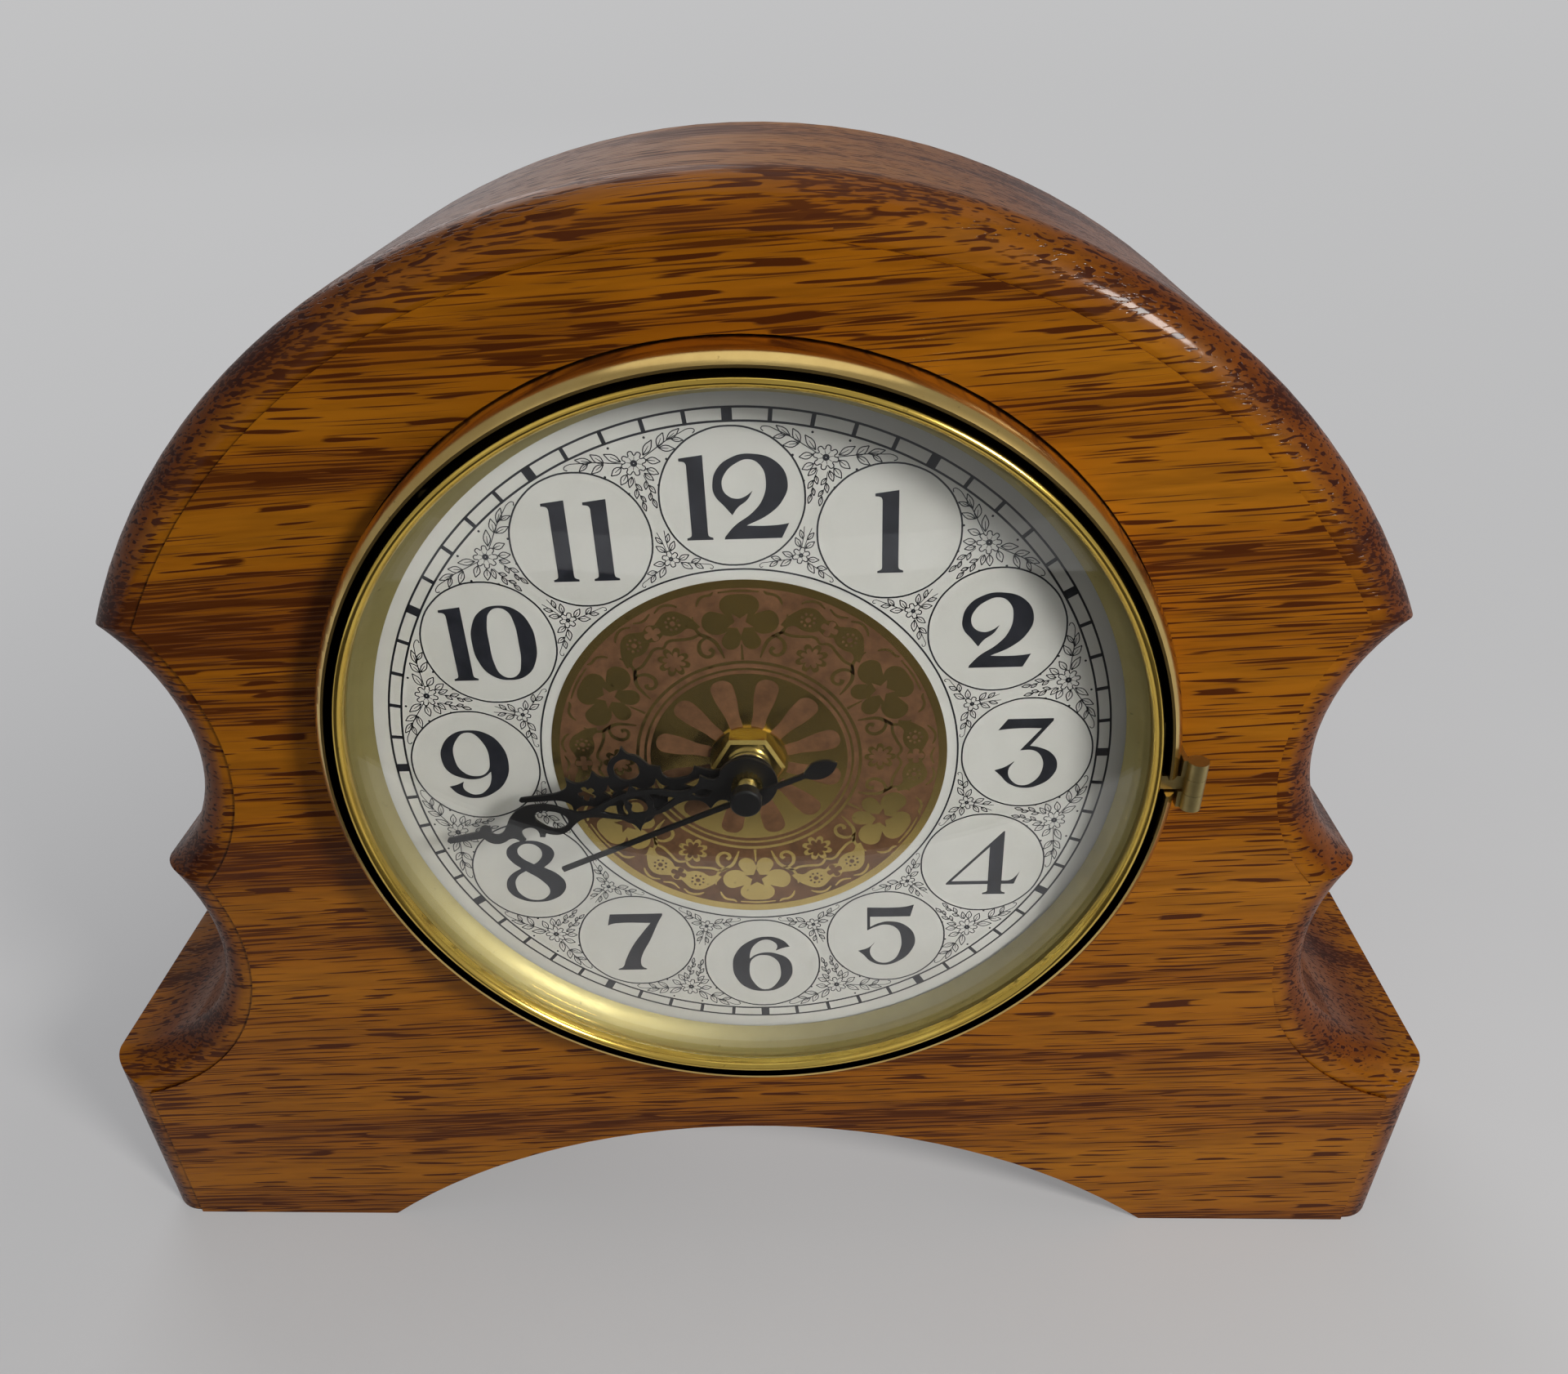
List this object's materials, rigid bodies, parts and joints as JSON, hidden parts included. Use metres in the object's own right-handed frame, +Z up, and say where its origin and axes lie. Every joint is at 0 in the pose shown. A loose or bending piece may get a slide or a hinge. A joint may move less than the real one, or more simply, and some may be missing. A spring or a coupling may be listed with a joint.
{
  "type": "mantel clock",
  "caption": "Arched oak mantel clock with notched sides, a hinged brass bezel with domed glass over a round printed dial, pierced hands and a battery quartz movement.",
  "frame": {"origin": "on the floor under the middle of the part, half way between the glass's front and the case's back", "axes": "+X to the viewer's right, +Y to the back, +Z up; the dial faces -Y"},
  "size_m": [0.254, 0.0684, 0.2],
  "materials": {
    "oak": "satin varnish",
    "brass": "polished",
    "glass": "clear",
    "dial": "printed matt white",
    "black_lacquer": "satin black",
    "steel": "plated",
    "black_plastic": "moulded",
    "white_plastic": "moulded",
    "rubber": "matt",
    "board": "laminate",
    "copper": "enamelled wire",
    "battery_skin": "plain sleeve"
  },
  "bodies": {
    "case": {"case_front_board": "oak", "case_middle_board": "oak", "case_rear_board": "oak", "dial_pan": "brass", "pan_screws": "brass", "dial_plate": "dial", "pan_hinge_leaf": "brass", "hinge_pin": "brass", "movement_housing": "black_plastic", "movement_cover": "black_plastic", "middle_plate": "white_plastic", "threaded_bush": "steel", "rubber_washer": "rubber", "nut_washer": "brass", "bush_nut": "brass", "battery": "battery_skin", "contact_negative": "steel", "contact_positive": "steel", "circuit_board": "board", "stator": "steel", "coil_core": "steel", "coil": "copper"},
    "bezel": {"bezel_ring": "brass", "bezel_glass": "glass", "glass_cove_ring": "brass", "bezel_hinge_leaf": "brass", "hinge_rivets": "brass"},
    "minute_work": {"minute_pipe": "steel", "minute_hand": "black_lacquer", "minute_nut": "brass"},
    "hour_work": {"hour_wheel": "white_plastic", "hour_hand": "black_lacquer"},
    "setting_work": {"setting_wheel": "white_plastic", "setting_knob": "black_plastic"},
    "seconds_work": {"seconds_wheel": "white_plastic", "second_hand": "black_lacquer"},
    "third_work": {"third_wheel": "white_plastic"},
    "centre_work": {"centre_wheel": "white_plastic"},
    "intermediate_work": {"intermediate_wheel": "white_plastic"},
    "rotor_work": {"rotor": "white_plastic"}
  },
  "joints": [
    {"name": "bezel_hinge", "type": "hinge", "parent": "case", "child": "bezel", "pos_m": [0.0682, -0.02577, 0.115], "axis": [0, 0, 1], "range_deg": [0, 120]},
    {"name": "minute_turn", "type": "hinge", "parent": "case", "child": "minute_work", "pos_m": [0, -0.01578, 0.115], "axis": [0, 1, 0], "continuous": true},
    {"name": "hour_turn", "type": "hinge", "parent": "case", "child": "hour_work", "pos_m": [0, -0.01578, 0.115], "axis": [0, 1, 0], "continuous": true},
    {"name": "setting_turn", "type": "hinge", "parent": "case", "child": "setting_work", "pos_m": [0.00594, -0.01578, 0.12094], "axis": [0, 1, 0], "continuous": true},
    {"name": "seconds_turn", "type": "hinge", "parent": "case", "child": "seconds_work", "pos_m": [0, -0.01578, 0.115], "axis": [0, 1, 0], "continuous": true},
    {"name": "third_turn", "type": "hinge", "parent": "case", "child": "third_work", "pos_m": [-0.00677, -0.01578, 0.11254], "axis": [0, 1, 0], "continuous": true},
    {"name": "centre_turn", "type": "hinge", "parent": "case", "child": "centre_work", "pos_m": [0, -0.01578, 0.115], "axis": [0, 1, 0], "continuous": true},
    {"name": "intermediate_turn", "type": "hinge", "parent": "case", "child": "intermediate_work", "pos_m": [-0.0013, -0.01578, 0.12239], "axis": [0, 1, 0], "continuous": true},
    {"name": "rotor_turn", "type": "hinge", "parent": "case", "child": "rotor_work", "pos_m": [-0.00039, -0.01578, 0.12756], "axis": [0, 1, 0], "continuous": true}
  ],
  "couplings": [
    {"joint": "setting_turn", "follows": "minute_turn", "ratio": -0.33333},
    {"joint": "hour_turn", "follows": "minute_turn", "ratio": 0.083333},
    {"joint": "third_turn", "follows": "seconds_turn", "ratio": -0.13333},
    {"joint": "centre_turn", "follows": "seconds_turn", "ratio": 0.016667},
    {"joint": "intermediate_turn", "follows": "seconds_turn", "ratio": -5},
    {"joint": "rotor_turn", "follows": "seconds_turn", "ratio": 30}
  ]
}
